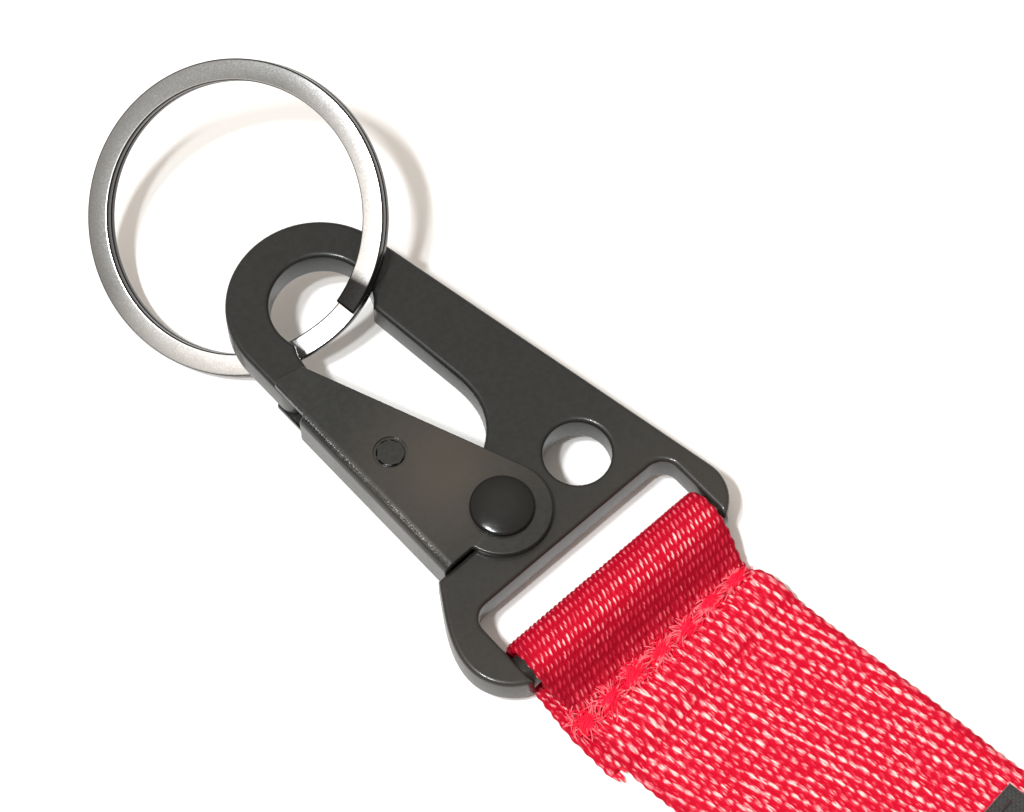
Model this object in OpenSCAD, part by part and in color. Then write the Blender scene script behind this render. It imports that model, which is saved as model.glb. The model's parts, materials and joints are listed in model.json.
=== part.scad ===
// Carabiner keyring: a cast sling hook with a sprung sheet-metal gate, a flat
// split ring through its eye, and a webbing strap looped round its end bar.
// The origin is the centre of the hook's tether hole. +Y runs from the strap to
// the ring, +X across the hook towards its spine, and +Z up off the table.

/* [Hook frame] */
// Thickness of the cast plate
plate_t = 3.9; // [3.9:0.1:4.1]
// Inner radius of the eye that holds the ring
eye_r = 5.4; // [5:0.1:5.6]
// Outer radius of the hook's head
head_r = 9.6; // [9.5:0.1:9.8]
// Diameter of the round tether hole
tether_d = 7; // [6:0.1:7.5]
// Length of the slot for the webbing
slot_l = 26.2; // [26:0.1:26.6]
// Width of the slot for the webbing
slot_w = 5.7; // [5.4:0.1:6]
// Diameter of the round bar that carries the webbing
bar_d = 3.6; // [3.4:0.1:3.8]

/* [Gate] */
// Thickness of the gate's sheet metal
sheet_t = 0.9; // [0.8:0.05:1]
// Gap between the plate and each side of the gate
gate_gap = 0.1; // [0.08:0.01:0.15]
// Radius of the gate's round end about its pivot
gate_end_r = 5.1; // [4.9:0.1:5.3]
// Length of the gate from its pivot to its tip
gate_l = 26; // [25.5:0.1:26.2]
// Diameter of the pivot rivet's shank
rivet_d = 3; // [2.6:0.1:3.2]
// Diameter of the rivet's domed head
rivet_head_d = 6.6; // [6:0.1:6.8]
// Height of the rivet's domed head
rivet_head_h = 1.1; // [1:0.1:1.4]
// Diameter of the flush pin that anchors the gate's spring
pin_d = 3; // [2.6:0.1:3.2]

/* [Split ring] */
// Outside diameter of the ring
ring_od = 33; // [32.6:0.1:33.1]
// Width of the ring's flat face
ring_w = 2.3; // [2:0.1:2.4]
// Thickness of the two coils together
ring_t = 2.1; // [2:0.1:2.1]
// Angle between the resting ring and the table
ring_tilt = 34; // [34:1:40]
// Turn of the resting ring's high side away from the strap
ring_turn = 21; // [18:1:21]

/* [Webbing] */
// Width of the webbing
web_w = 25.4; // [24.5:0.1:25.4]
// Thickness of one layer of webbing
web_t = 1.2; // [1:0.1:1.2]
// Angle at which the strap leaves the hook, seen from above
strap_skew = 6; // [3:1:7]
// Length of the strap from its first seam to its far end
strap_l = 108; // [90:1:130]
// Length of the far end's folded hem
hem_l = 14; // [12:1:18]
// Distance from the bar to the seam that closes the loop
seam_y = 7.2; // [7:0.1:8]

/* [Hidden] */
$fn = 96;

// Places in the plane of the hook, from the tether hole
eye = [-8.1, 30.2];
head = [-8.35, 30.4];
pivot = [-10, 0.3];
pin = [-14.3, 12.3];
slot_x0 = -19.8;
slot_top = -5.9;
bar_y = slot_top - slot_w - bar_d / 2;
slot_mid = slot_x0 + slot_l / 2;
finger_x = head[0] - head_r;
finger_w = 3.9;
finger_y = 25.2;
corner_r = [5.7, 4.6];                         // left and right corners at the bar
corner = [[-18, bar_y + 3.5], [4.6, bar_y + 2.6]];
bar_in = 0.3;                                // how far the bar runs into them
shoulder_y = -1;
rim = 0.5;                                   // chamfer of the eye's rims

// Gate
gate_in = plate_t / 2 + gate_gap;
gate_out = gate_in + sheet_t;
web_x = -18.7;
web_top = 21.4;
bend_r = 1.2;
tip = [-18, pivot[1] + gate_l];
rivet_fit = 0.05;
rivet_rim = 0.55;                            // straight side of the head, below its dome

// Gate spring, a torsion coil round the rivet in a pocket on the back
wire_d = 0.5;
coil_r = 2.2;
coil_turns = 3;
coil_pitch = 0.56;
pocket_r = 2.9;
pocket_z = 0.3;
leg_z = pocket_z - 0.45;
leg_a = 22;                                  // where the long leg leaves the coil
short_leg = 4;

// Rest pose: the strap's loop and the ring's low side stand on one table
loop_in = bar_d / 2 + 0.15;
loop_out = loop_in + web_t;
ring_r = ring_od / 2;
ring_c = [-8.2, 43.25];                        // where the ring's centre stands over the hook's plane
ring_up = 2.25;                              // and how far above it
ring_drop = ring_r * sin(ring_tilt) + ring_t / 2 * cos(ring_tilt);
hook_lift = asin((ring_drop - loop_out - ring_up) / (ring_c[1] - bar_y));
ring_at = [ring_c[0], ring_c[1] * cos(hook_lift), ring_c[1] * sin(hook_lift) + ring_up];
bar_at = [slot_mid, bar_y * cos(hook_lift), bar_y * sin(hook_lift)];
table_z = bar_at[2] - loop_out;

// Webbing
stitch_d = 0.6;
label = [21, 44, 0.5];
label_from = 34.5;

function arc(c, r, a0, a1, n) =
    [for (i = [0:n]) c + r * [cos(a0 + (a1 - a0) * i / n), sin(a0 + (a1 - a0) * i / n)]];
// Cubic curve between the first and last of four points
function curve(a, b, c, d, n) = [for (i = [0:n]) let (t = i / n, u = 1 - t)
    u * u * u * a + 3 * u * u * t * b + 3 * u * t * t * c + t * t * t * d];
// Angle of the normal to the line that touches two circles, on the side given
function tangent_angle(c1, r1, c2, r2, side) =
    atan2(c2[1] - c1[1], c2[0] - c1[0]) + side * acos((r1 - r2) / norm(c2 - c1));
function on_circle(c, r, a) = c + r * [cos(a), sin(a)];
// Faces of a tube whose rings of m points follow one another n times
function tube_faces(n, m) = concat(
    [[for (j = [0:m - 1]) m - 1 - j]],
    [for (i = [0:n - 2], j = [0:m - 1])
        [i * m + j, i * m + (j + 1) % m, (i + 1) * m + (j + 1) % m, (i + 1) * m + j]],
    [[for (j = [0:m - 1]) (n - 1) * m + j]]);

// Lifts what is built in the plane of the hook to how it lies on the table
module in_hook_plane() {
    rotate([hook_lift, 0, 0]) children();
}

// ---- Hook frame -------------------------------------------------------------

module outer_outline() {
    right_a = tangent_angle(head, head_r, corner[1], corner_r[1], 1);
    translate(head) circle(head_r);
    for (i = [0:1]) translate(corner[i]) circle(corner_r[i]);
    polygon([
        [finger_x, head[1]],
        [finger_x, shoulder_y],
        each curve([-19.7, shoulder_y], [-21.4, -3.7], [-23.7, -6.6],
                   corner[0] + [-corner_r[0], 0], 12),
        corner[0] + [0, -corner_r[0]],
        corner[1] + [0, -corner_r[1]],
        on_circle(corner[1], corner_r[1], right_a),
        on_circle(head, head_r, right_a),
        head]);
}

// Open triangle inside the gate, from the finger's tip down to the pivot boss
module window_outline() {
    difference() {
        polygon([
            [-30, finger_y],
            [finger_x + finger_w, finger_y],
            [-13.4, 29.5],
            [-3.2, 28],
            [-4.4, 25.4],
            each curve([-3.3, 14.8], [-3, 11.6], [-3.6, 8.4], [-7.4, 6.4], 14),
            pivot,
            [-14.8, shoulder_y],
            [-30, shoulder_y]]);
        translate(pivot) circle(4.8);
    }
}

// Slot with round upper corners, open below for the bar
module slot_outline() {
    r = 2;
    translate([slot_x0 + r, slot_top - r]) square([slot_l - 2 * r, r]);
    translate([slot_x0, bar_y - 8]) square([slot_l, slot_top - r - bar_y + 8]);
    for (x = [r, slot_l - r]) translate([slot_x0 + x, slot_top - r]) circle(r);
}

// Round hole with chamfered rims, to cut from the plate
module eye_cut() {
    translate([0, 0, -plate_t]) cylinder(r = eye_r, h = 2 * plate_t);
    for (s = [0, 180]) rotate([s, 0, 0]) translate([0, 0, plate_t / 2 - rim])
        cylinder(r1 = eye_r, r2 = eye_r + 2 * rim, h = 2 * rim);
}

module hook_frame() {
    color([0.13, 0.13, 0.125]) in_hook_plane() {
        difference() {
            translate([0, 0, -plate_t / 2]) linear_extrude(plate_t) difference() {
                outer_outline();
                window_outline();
                slot_outline();
            }
            translate(eye) eye_cut();
            translate([0, 0, -plate_t]) cylinder(d = tether_d, h = 2 * plate_t);
            translate([pivot[0], pivot[1], -plate_t]) cylinder(d = rivet_d, h = 2 * plate_t);
            spring_pocket();
        }
        // Rounded tip of the finger that the gate closes over
        translate([finger_x + finger_w / 2, finger_y, -plate_t / 2])
            cylinder(d = finger_w, h = plate_t);
        // Round bar for the webbing
        translate([slot_x0 - bar_in, bar_y, 0]) rotate([0, 90, 0])
            cylinder(d = bar_d, h = slot_l + 2 * bar_in);
    }
}

module spring_pocket() {
    way_h = plate_t + pocket_z - 0.1;
    translate([pivot[0], pivot[1], -plate_t]) cylinder(r = pocket_r, h = plate_t + pocket_z);
    // Ways out for the long leg and the short one
    translate([pivot[0], pivot[1], -plate_t]) rotate([0, 0, leg_a]) {
        rotate([0, 0, 90]) translate([0.5, -coil_r - 0.5, 0]) cube([7, 1, way_h]);
        translate([coil_r, -0.5, 0]) cube([short_leg - coil_r + 0.3, 1, way_h]);
    }
}

// ---- Gate -------------------------------------------------------------------

module gate_outline() {
    edge_a = 21.6;                            // lean of the gate's long free edge
    start = on_circle(pivot, gate_end_r, edge_a);
    run = (tip[1] - 0.6 - start[1]) / cos(edge_a);
    polygon(concat([
        [web_x, pivot[1] - 1.2],
        [web_x, web_top],
        [tip[0], web_top],
        tip + [0, -0.4],
        tip + [0.5, 0],
        start + run * [-sin(edge_a), cos(edge_a)]],
        arc(pivot, gate_end_r, edge_a, -167, 48)));
}

// Folded channel seen along its length, with round bends
module channel_section() {
    difference() {
        union() {
            translate([web_x, -gate_out + bend_r]) square([20, 2 * (gate_out - bend_r)]);
            translate([web_x + bend_r, -gate_out]) square([20, 2 * gate_out]);
            for (s = [-1, 1]) translate([web_x + bend_r, s * (gate_out - bend_r)]) circle(bend_r);
        }
        translate([web_x + sheet_t, -gate_in]) square([30, 2 * gate_in]);
    }
}

module gate_lever() {
    color([0.17, 0.17, 0.165]) in_hook_plane() difference() {
        intersection() {
            translate([0, 0, -5]) linear_extrude(10) gate_outline();
            translate([0, 40, 0]) rotate([90, 0, 0]) linear_extrude(60) channel_section();
        }
        // The fold stops short of the tip, where the finger comes in
        translate([web_x, web_top, -gate_in]) cube([3, 10, 2 * gate_in]);
        translate([pivot[0], pivot[1], -5]) cylinder(d = rivet_d + 2 * rivet_fit, h = 10);
        translate([pin[0], pin[1], -5]) cylinder(d = pin_d, h = 10);
        // Groove round each end of the spring pin
        for (s = [-1, 1]) translate([pin[0], pin[1], s * gate_out])
            cylinder(d = pin_d + 0.6, h = 0.5, center = true);
    }
}

module pivot_rivet() {
    dome = rivet_head_h - rivet_rim;
    cap_r = (pow(rivet_head_d / 2, 2) + pow(dome, 2)) / (2 * dome);
    seat = gate_out + 0.05;
    color([0.08, 0.08, 0.08]) in_hook_plane() translate([pivot[0], pivot[1], 0]) {
        cylinder(d = rivet_d, h = 2 * seat + 0.4, center = true);
        for (s = [0, 180]) rotate([s, 0, 0]) intersection() {
            translate([0, 0, seat + rivet_head_h - cap_r]) sphere(cap_r);
            translate([0, 0, seat]) cylinder(d = rivet_head_d - 0.02, h = rivet_head_h + 1);
        }
    }
}

module spring_pin() {
    color([0.2, 0.2, 0.2]) in_hook_plane() translate([pin[0], pin[1], 0])
        cylinder(d = pin_d, h = 2 * gate_out, center = true);
}

module gate_spring() {
    steps = 12;
    leg = 11.2;
    // Coil, then a straight leg up the gate's channel to the pin
    coil = [for (i = [0:coil_turns * steps])
        let (a = leg_a - (coil_turns - i / steps) * 360)
        [coil_r * cos(a), coil_r * sin(a), leg_z - (coil_turns - i / steps) * coil_pitch]];
    path = concat(
        [[short_leg * cos(leg_a), short_leg * sin(leg_a), coil[0][2]]],
        coil,
        [[coil_r * cos(leg_a) - leg * sin(leg_a), coil_r * sin(leg_a) + leg * cos(leg_a), leg_z]]);
    n = len(path);
    sides = 6;
    points = [for (i = [0:n - 1])
        let (d = path[min(i + 1, n - 1)] - path[max(i - 1, 0)],
             t = [d[0], d[1], 0] / norm([d[0], d[1]]),
             out = [t[1], -t[0], 0])
        for (j = [0:sides - 1])
            path[i] + wire_d / 2 * (cos(j * 60) * out + sin(j * 60) * [0, 0, 1])];
    color([0.6, 0.6, 0.62]) in_hook_plane() translate([pivot[0], pivot[1], 0])
        polyhedron(points, [for (f = tube_faces(n, sides)) [for (k = [len(f) - 1:-1:0]) f[k]]]);
}

// ---- Split ring ---------------------------------------------------------------

// One flat wire wound twice: an upper turn from its cut end round to the joggle,
// where it steps down under that end, then a lower turn
module split_ring() {
    wire_t = ring_t / 2 - 0.03;
    mean = ring_r - ring_w / 2;
    start = 254;
    joggle = [335, 359];                     // degrees along the wire
    turns = 684;
    n = 171;
    chamfer = 0.25;
    w = ring_w / 2;
    h = wire_t / 2;
    section = [
        [-w + chamfer, -h], [w - chamfer, -h], [w, -h + chamfer], [w, h - chamfer],
        [w - chamfer, h], [-w + chamfer, h], [-w, h - chamfer], [-w, -h + chamfer]];
    points = [for (i = [0:n])
        let (a = i / n * turns,
             s = min(1, max(0, (a - joggle[0]) / (joggle[1] - joggle[0]))),
             z = ring_t / 4 * (1 - 2 * (3 * s * s - 2 * s * s * s)))
        for (p = section)
            [(mean + p[0]) * cos(a + start), (mean + p[0]) * sin(a + start), z + p[1]]];
    color([0.62, 0.62, 0.64]) translate(ring_at) rotate([0, 0, ring_turn])
        rotate([0, -ring_tilt, 0]) polyhedron(points, tube_faces(n + 1, 8));
}

// ---- Webbing ------------------------------------------------------------------

// Loop seen along the bar: round the bar, then down to the tail behind it
module loop_section() {
    tail = seam_y + 5;
    difference() {
        union() {
            circle(loop_out);
            polygon([
                on_circle([0, 0], loop_out, 270),
                [-tail, -loop_out],
                [-tail, -loop_out + web_t],
                [-seam_y, -loop_out + 2 * web_t],
                on_circle([0, 0], loop_out, 125),
                [0, 0]]);
        }
        circle(loop_in);
        polygon([
            on_circle([0, 0], loop_in, 270),
            [-seam_y + 1, -loop_out + web_t],
            on_circle([0, 0], loop_in, 125),
            [0, 0]]);
    }
}

// Places what is built along the strap: +Y runs from the seam to the far end
module along_strap() {
    translate([bar_at[0], bar_at[1] - seam_y, table_z]) rotate([0, 0, 180 + strap_skew])
        children();
}

module webbing_strap() {
    color([0.8, 0.08, 0.18]) {
        translate([bar_at[0] - web_w / 2, bar_at[1], bar_at[2]]) rotate([90, 0, 90])
            linear_extrude(web_w) loop_section();
        along_strap() {
            translate([-web_w / 2, -1.2, web_t]) cube([web_w, 7.2, web_t]);
            translate([-web_w / 2, 6, 0]) cube([web_w, strap_l - 6, web_t]);
            translate([-web_w / 2, 5.4, 0.6]) cube([web_w, 0.6, 2 * web_t - 0.6]);
            translate([-web_w / 2, strap_l - hem_l, web_t]) cube([web_w, hem_l, web_t]);
        }
    }
}

// Close rows of thread laid across the strap
module thread_rows(rows, pitch, width, z) {
    for (i = [0:rows - 1]) translate([-width / 2, i * pitch, z])
        cube([width, stitch_d, stitch_d / 2]);
}

module loop_stitching() {
    color([0.95, 0.1, 0.22]) along_strap()
        translate([0, -0.4, 0]) thread_rows(3, 0.8, web_w - 1, 2 * web_t);
}

module strap_label() {
    color([0.07, 0.07, 0.075]) along_strap()
        translate([-label[0] / 2, label_from, web_t]) cube(label);
}

module label_stitching() {
    color([0.1, 0.1, 0.1]) along_strap() for (y = [1, label[1] - 1.6])
        translate([0, label_from + y, 0]) thread_rows(1, 1, label[0] - 2, web_t + label[2]);
}

module hem_stitching() {
    color([0.95, 0.1, 0.22]) along_strap()
        translate([0, strap_l - hem_l + 2, 0]) thread_rows(3, 0.8, web_w - 1, 2 * web_t);
}

hook_frame();
gate_lever();
pivot_rivet();
spring_pin();
gate_spring();
split_ring();
webbing_strap();
loop_stitching();
strap_label();
label_stitching();
hem_stitching();
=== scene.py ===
"""Looks of the carabiner keyring: cast hook, folded gate, split ring and red webbing on a white table."""
import json
import math

import bmesh
import bpy
import numpy as np
from mathutils import Matrix, Vector
from mathutils.geometry import delaunay_2d_cdt


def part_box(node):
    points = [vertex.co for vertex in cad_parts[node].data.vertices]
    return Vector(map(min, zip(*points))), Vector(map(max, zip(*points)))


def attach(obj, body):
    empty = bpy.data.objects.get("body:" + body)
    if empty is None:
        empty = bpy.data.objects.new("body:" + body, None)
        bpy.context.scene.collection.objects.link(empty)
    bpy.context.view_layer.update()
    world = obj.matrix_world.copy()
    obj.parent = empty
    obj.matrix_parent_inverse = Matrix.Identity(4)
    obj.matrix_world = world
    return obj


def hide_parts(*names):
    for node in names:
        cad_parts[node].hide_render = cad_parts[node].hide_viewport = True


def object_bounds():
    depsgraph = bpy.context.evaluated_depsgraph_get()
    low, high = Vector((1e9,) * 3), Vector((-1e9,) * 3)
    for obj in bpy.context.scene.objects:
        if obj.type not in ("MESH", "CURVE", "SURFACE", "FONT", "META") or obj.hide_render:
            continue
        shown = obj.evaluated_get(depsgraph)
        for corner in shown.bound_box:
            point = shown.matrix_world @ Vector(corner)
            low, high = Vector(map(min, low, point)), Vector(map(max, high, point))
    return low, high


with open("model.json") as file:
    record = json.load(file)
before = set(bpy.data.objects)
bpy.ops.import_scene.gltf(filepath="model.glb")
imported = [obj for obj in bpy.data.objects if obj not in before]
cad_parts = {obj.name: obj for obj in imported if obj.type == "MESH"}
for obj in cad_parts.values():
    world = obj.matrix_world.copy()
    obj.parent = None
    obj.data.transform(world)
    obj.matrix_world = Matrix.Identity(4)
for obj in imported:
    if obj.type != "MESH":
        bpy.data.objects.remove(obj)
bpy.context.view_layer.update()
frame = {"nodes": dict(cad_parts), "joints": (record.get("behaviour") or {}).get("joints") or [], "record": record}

MM = 0.001
RECORD = frame["record"]
JOINTS = {joint["name"]: joint for joint in frame["joints"]}
TABLE_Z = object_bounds()[0].z
GATE_TOP = 2.95                                  # millimetres above the middle of the plate
RIVET_AT = (-10, 0.3)
RIVET_TOP = 4.05

# The plane of the hook, from the tether hole's axis
HOOK_Z = Vector(RECORD["mounts"][0]["axis"]).normalized()
HOOK_X = Vector((1, 0, 0))
HOOK_Y = HOOK_Z.cross(HOOK_X)


def on_hook(x, y, z=0.0):
    """A point of the hook's own plane, in millimetres from the tether hole, in the row frame."""
    return (HOOK_X * x + HOOK_Y * y + HOOK_Z * z) * MM


# ---- Materials ------------------------------------------------------------------


class Nodes:
    """Short calls for building one procedural material."""

    def __init__(self, name):
        self.material = bpy.data.materials.new(name)
        self.material.use_nodes = True
        self.tree = self.material.node_tree
        self.shader = self.tree.nodes["Principled BSDF"]

    def add(self, kind, inputs=None, **settings):
        node = self.tree.nodes.new(kind)
        for key, value in settings.items():
            setattr(node, key, value)
        for key, value in (inputs or {}).items():
            self.put(node.inputs[key], value)
        return node

    def put(self, socket, value):
        if isinstance(value, bpy.types.NodeSocket):
            self.tree.links.new(value, socket)
        else:
            socket.default_value = value

    def set(self, **inputs):
        for key, value in inputs.items():
            self.put(self.shader.inputs[key.replace("_", " ")], value)

    def math(self, operation, *values, clamp=False):
        node = self.add("ShaderNodeMath", operation=operation, use_clamp=clamp)
        for socket, value in zip(node.inputs, values):
            self.put(socket, value)
        return node.outputs[0]

    def ramp(self, value, low, high, out_low=0.0, out_high=1.0):
        node = self.add(
            "ShaderNodeMapRange",
            {"Value": value, "From Min": low, "From Max": high, "To Min": out_low, "To Max": out_high},
            clamp=True,
        )
        return node.outputs["Result"]

    def mix(self, factor, a, b):
        node = self.add("ShaderNodeMix", data_type="RGBA")
        self.put(node.inputs["Factor"], factor)
        self.put(node.inputs["A"], a)
        self.put(node.inputs["B"], b)
        return node.outputs["Result"]

    def position(self):
        return self.add("ShaderNodeNewGeometry").outputs["Position"]

    def object_place(self):
        return self.add("ShaderNodeTexCoord").outputs["Object"]

    def noise(self, scale, detail=3.0, roughness=0.5, vector=None):
        node = self.add("ShaderNodeTexNoise", {"Scale": scale, "Detail": detail, "Roughness": roughness})
        self.put(node.inputs["Vector"], vector if vector is not None else self.object_place())
        return node.outputs["Fac"]

    def attribute(self, name):
        return self.add("ShaderNodeAttribute", attribute_name=name)

    def bump(self, height, distance, strength=1.0, normal=None):
        node = self.add("ShaderNodeBump", {"Height": height, "Distance": distance, "Strength": strength})
        if normal is not None:
            self.put(node.inputs["Normal"], normal)
        return node.outputs["Normal"]


def grey(value):
    """A slightly warm grey."""
    return (value, value * 0.99, value * 0.955, 1)


def black(value):
    """A slightly green black."""
    return (value * 0.92, value, value * 0.96, 1)


def black_coating(name, tone, rough, wear=None, warm=None):
    """Satin black coating: fine orange peel, slow changes of gloss, and metal showing where the mask says."""
    n = Nodes(name)
    peel = n.noise(3800, 2)
    cloud = n.noise(140, 4)
    grain = n.noise(1500, 4, 0.65)
    roughness = n.ramp(n.math("ADD", n.math("MULTIPLY", cloud, 0.6), n.math("MULTIPLY", grain, 0.4)),
                       0.3, 0.7, rough - 0.06, rough + 0.07)
    colour = n.mix(n.ramp(grain, 0.4, 0.62), black(tone), black(tone * 1.35))
    # The warm mask paints light in: a lighter brown-grey as painted light and painted reflection
    if warm:
        patch = n.math("MULTIPLY", warm(n), n.ramp(cloud, 0.2, 0.8, 0.8, 1.0))
        colour = n.mix(patch, colour, (0.044, 0.037, 0.03, 1))
    if wear:
        worn = wear(n)
        colour = n.mix(worn, colour, grey(0.5))
        n.set(Metallic=worn)
    n.set(
        Base_Color=colour,
        Roughness=roughness,
        Normal=n.bump(peel, 0.03 * MM, 0.5),
        Specular_IOR_Level=0.28,
        Coat_Weight=0.3,
        Coat_Roughness=0.13,
    )
    return n.material


def lower_painted_light(n):
    """Painted light: the frame's plate is painted a little greyer towards the strap."""
    along = n.add("ShaderNodeVectorMath", {0: n.position(), 1: HOOK_Y}, operation="DOT_PRODUCT").outputs["Value"]
    return n.ramp(along, on_hook(0, 6).dot(HOOK_Y), on_hook(0, -16).dot(HOOK_Y), 0.0, 0.5)


def gate_painted_reflection(n):
    """Painted reflection: a lighter, browner middle of the gate's face."""
    centre = on_hook(-11.5, 7.5, GATE_TOP)
    away = n.add("ShaderNodeVectorMath", {0: n.position(), 1: centre}, operation="DISTANCE").outputs["Value"]
    return n.ramp(away, 2.0 * MM, 12.0 * MM, 1.0, 0.0)


def fold_wear(n):
    """Bright rubbed line along the top fold of the gate."""
    low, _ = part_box("gate_lever")
    place = n.position()
    across = n.add("ShaderNodeVectorMath", {0: place, 1: HOOK_X}, operation="DOT_PRODUCT").outputs["Value"]
    up = n.add("ShaderNodeVectorMath", {0: place, 1: HOOK_Z}, operation="DOT_PRODUCT").outputs["Value"]
    crest = on_hook(low.x / MM + 0.6, 0, GATE_TOP - 0.15)
    dx = n.math("SUBTRACT", across, crest.dot(HOOK_X))
    dz = n.math("SUBTRACT", up, crest.dot(HOOK_Z))
    distance = n.math("SQRT", n.math("ADD", n.math("MULTIPLY", dx, dx), n.math("MULTIPLY", dz, dz)))
    near = n.ramp(distance, 0.04 * MM, 0.26 * MM, 1.0, 0.0)
    patchy = n.ramp(n.noise(260, 4, 0.6), 0.4, 0.56, 0.15, 0.7)
    fine = n.ramp(n.noise(7500, 2, 0.6), 0.5, 0.62)
    return n.math("MULTIPLY", n.math("MULTIPLY", near, patchy), fine, clamp=True)


def rivet_material():
    """Glossy black, painted greyer in the middle of the head as a painted reflection."""
    n = Nodes("rivet_black")
    smear = n.noise(500, 4, 0.6)
    place = n.position()
    head = on_hook(*RIVET_AT, RIVET_TOP)
    away = n.add("ShaderNodeVectorMath", {0: place, 1: head}, operation="DISTANCE").outputs["Value"]
    # Painted reflection: the middle of the head is painted greyer
    middle = n.ramp(n.math("ADD", away, n.math("MULTIPLY", smear, 0.8 * MM)), 1.4 * MM, 3.3 * MM, 1.0, 0.0)
    n.set(
        Base_Color=n.mix(middle, black(0.003), black(0.01)),
        Roughness=n.ramp(smear, 0.35, 0.7, 0.14, 0.24),
        Normal=n.bump(n.noise(2500, 3), 0.02 * MM, 0.3),
        Specular_IOR_Level=0.36,
    )
    return n.material


def steel(name, tone, rough, brush):
    """Polished steel whose faces keep fine lines and small changes of gloss."""
    n = Nodes(name)
    lines = n.noise(brush, 3, 0.6)
    cloud = n.noise(260, 4)
    n.set(
        Base_Color=n.mix(n.ramp(cloud, 0.35, 0.7), grey(tone), grey(tone * 1.3)),
        Metallic=1.0,
        Roughness=n.ramp(lines, 0.3, 0.7, rough - 0.05, rough + 0.08),
        Normal=n.bump(lines, 0.012 * MM, 0.5),
    )
    return n.material


def yarn_material(name, fibre=6500.0):
    """Shiny polyester yarn with fine filaments: painted shade makes it deep red between the floats, and a painted
    highlight makes it pale along their crests.
    """
    n = Nodes(name)
    crest = n.attribute("crest").outputs["Fac"]
    tone = n.attribute("tone").outputs["Fac"]
    shade = n.attribute("shade").outputs["Fac"]
    gloss = n.attribute("gloss").outputs["Fac"]
    uv = n.add("ShaderNodeUVMap").outputs["UV"]
    stretched = n.add("ShaderNodeMapping", {"Vector": uv, "Scale": (fibre, fibre * 0.14, 1)}).outputs["Vector"]
    filament = n.noise(1.0, 3, 0.6, stretched)
    streak = n.ramp(filament, 0.36, 0.64, -0.28, 0.28)
    lifted = n.math("ADD", crest, streak)
    # The shade attribute picks darker copies of the reds: painted shade on the loop, and darker selvedges
    deep = n.mix(shade, (0.48, 0.002, 0.018, 1), (0.24, 0.001, 0.01, 1))
    middle = n.mix(shade, (0.72, 0.065, 0.115, 1), (0.46, 0.014, 0.04, 1))
    # Painted shade in the gaps between the floats, lighter red on them
    colour = n.mix(n.ramp(lifted, 0.42, 0.92), deep, middle)
    # Painted highlight along the crests, as much as the gloss attribute lets through
    pale = n.math("MULTIPLY", n.ramp(lifted, 0.68, 1.04), gloss, clamp=True)
    # Where there is painted shade, only a few floats keep their painted highlight
    spark = n.ramp(tone, 0.15, 0.5, 0.0, 0.92)
    pale = n.math("MULTIPLY", pale, n.math("SUBTRACT", 1.0, n.math("MULTIPLY", spark, shade)))
    colour = n.mix(pale, colour, (0.86, 0.56, 0.52, 1))
    n.set(
        Base_Color=colour,
        Roughness=n.math("ADD", n.ramp(filament, 0.3, 0.7, 0.26, 0.4), n.ramp(lifted, 0.2, 0.8, 0.3, 0.0)),
        Specular_IOR_Level=0.07,
        Normal=n.bump(filament, 0.05 * MM, 0.8),
    )
    return n.material


def thread_material(name, colour, sheen):
    """Twisted sewing thread."""
    n = Nodes(name)
    twist = n.noise(3000, 3, 0.6)
    dark = tuple(c * 0.78 for c in colour[:3]) + (1,)
    n.set(
        Base_Color=n.mix(n.ramp(twist, 0.35, 0.6), dark, colour),
        Roughness=n.ramp(twist, 0.3, 0.7, 0.42, 0.6),
        Specular_IOR_Level=0.2,
        Sheen_Weight=sheen,
        Sheen_Tint=(1.0, 0.3, 0.4, 1),
        Normal=n.bump(twist, 0.03 * MM, 0.6),
    )
    return n.material


def table_material():
    n = Nodes("white_table")
    n.set(
        Base_Color=n.mix(n.noise(30, 3), (0.86, 0.855, 0.845, 1), (0.9, 0.895, 0.885, 1)),
        Roughness=n.ramp(n.noise(90, 3), 0.3, 0.7, 0.5, 0.62),
        Specular_IOR_Level=0.3,
    )
    return n.material


# ---- Metal pieces ---------------------------------------------------------------


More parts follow.
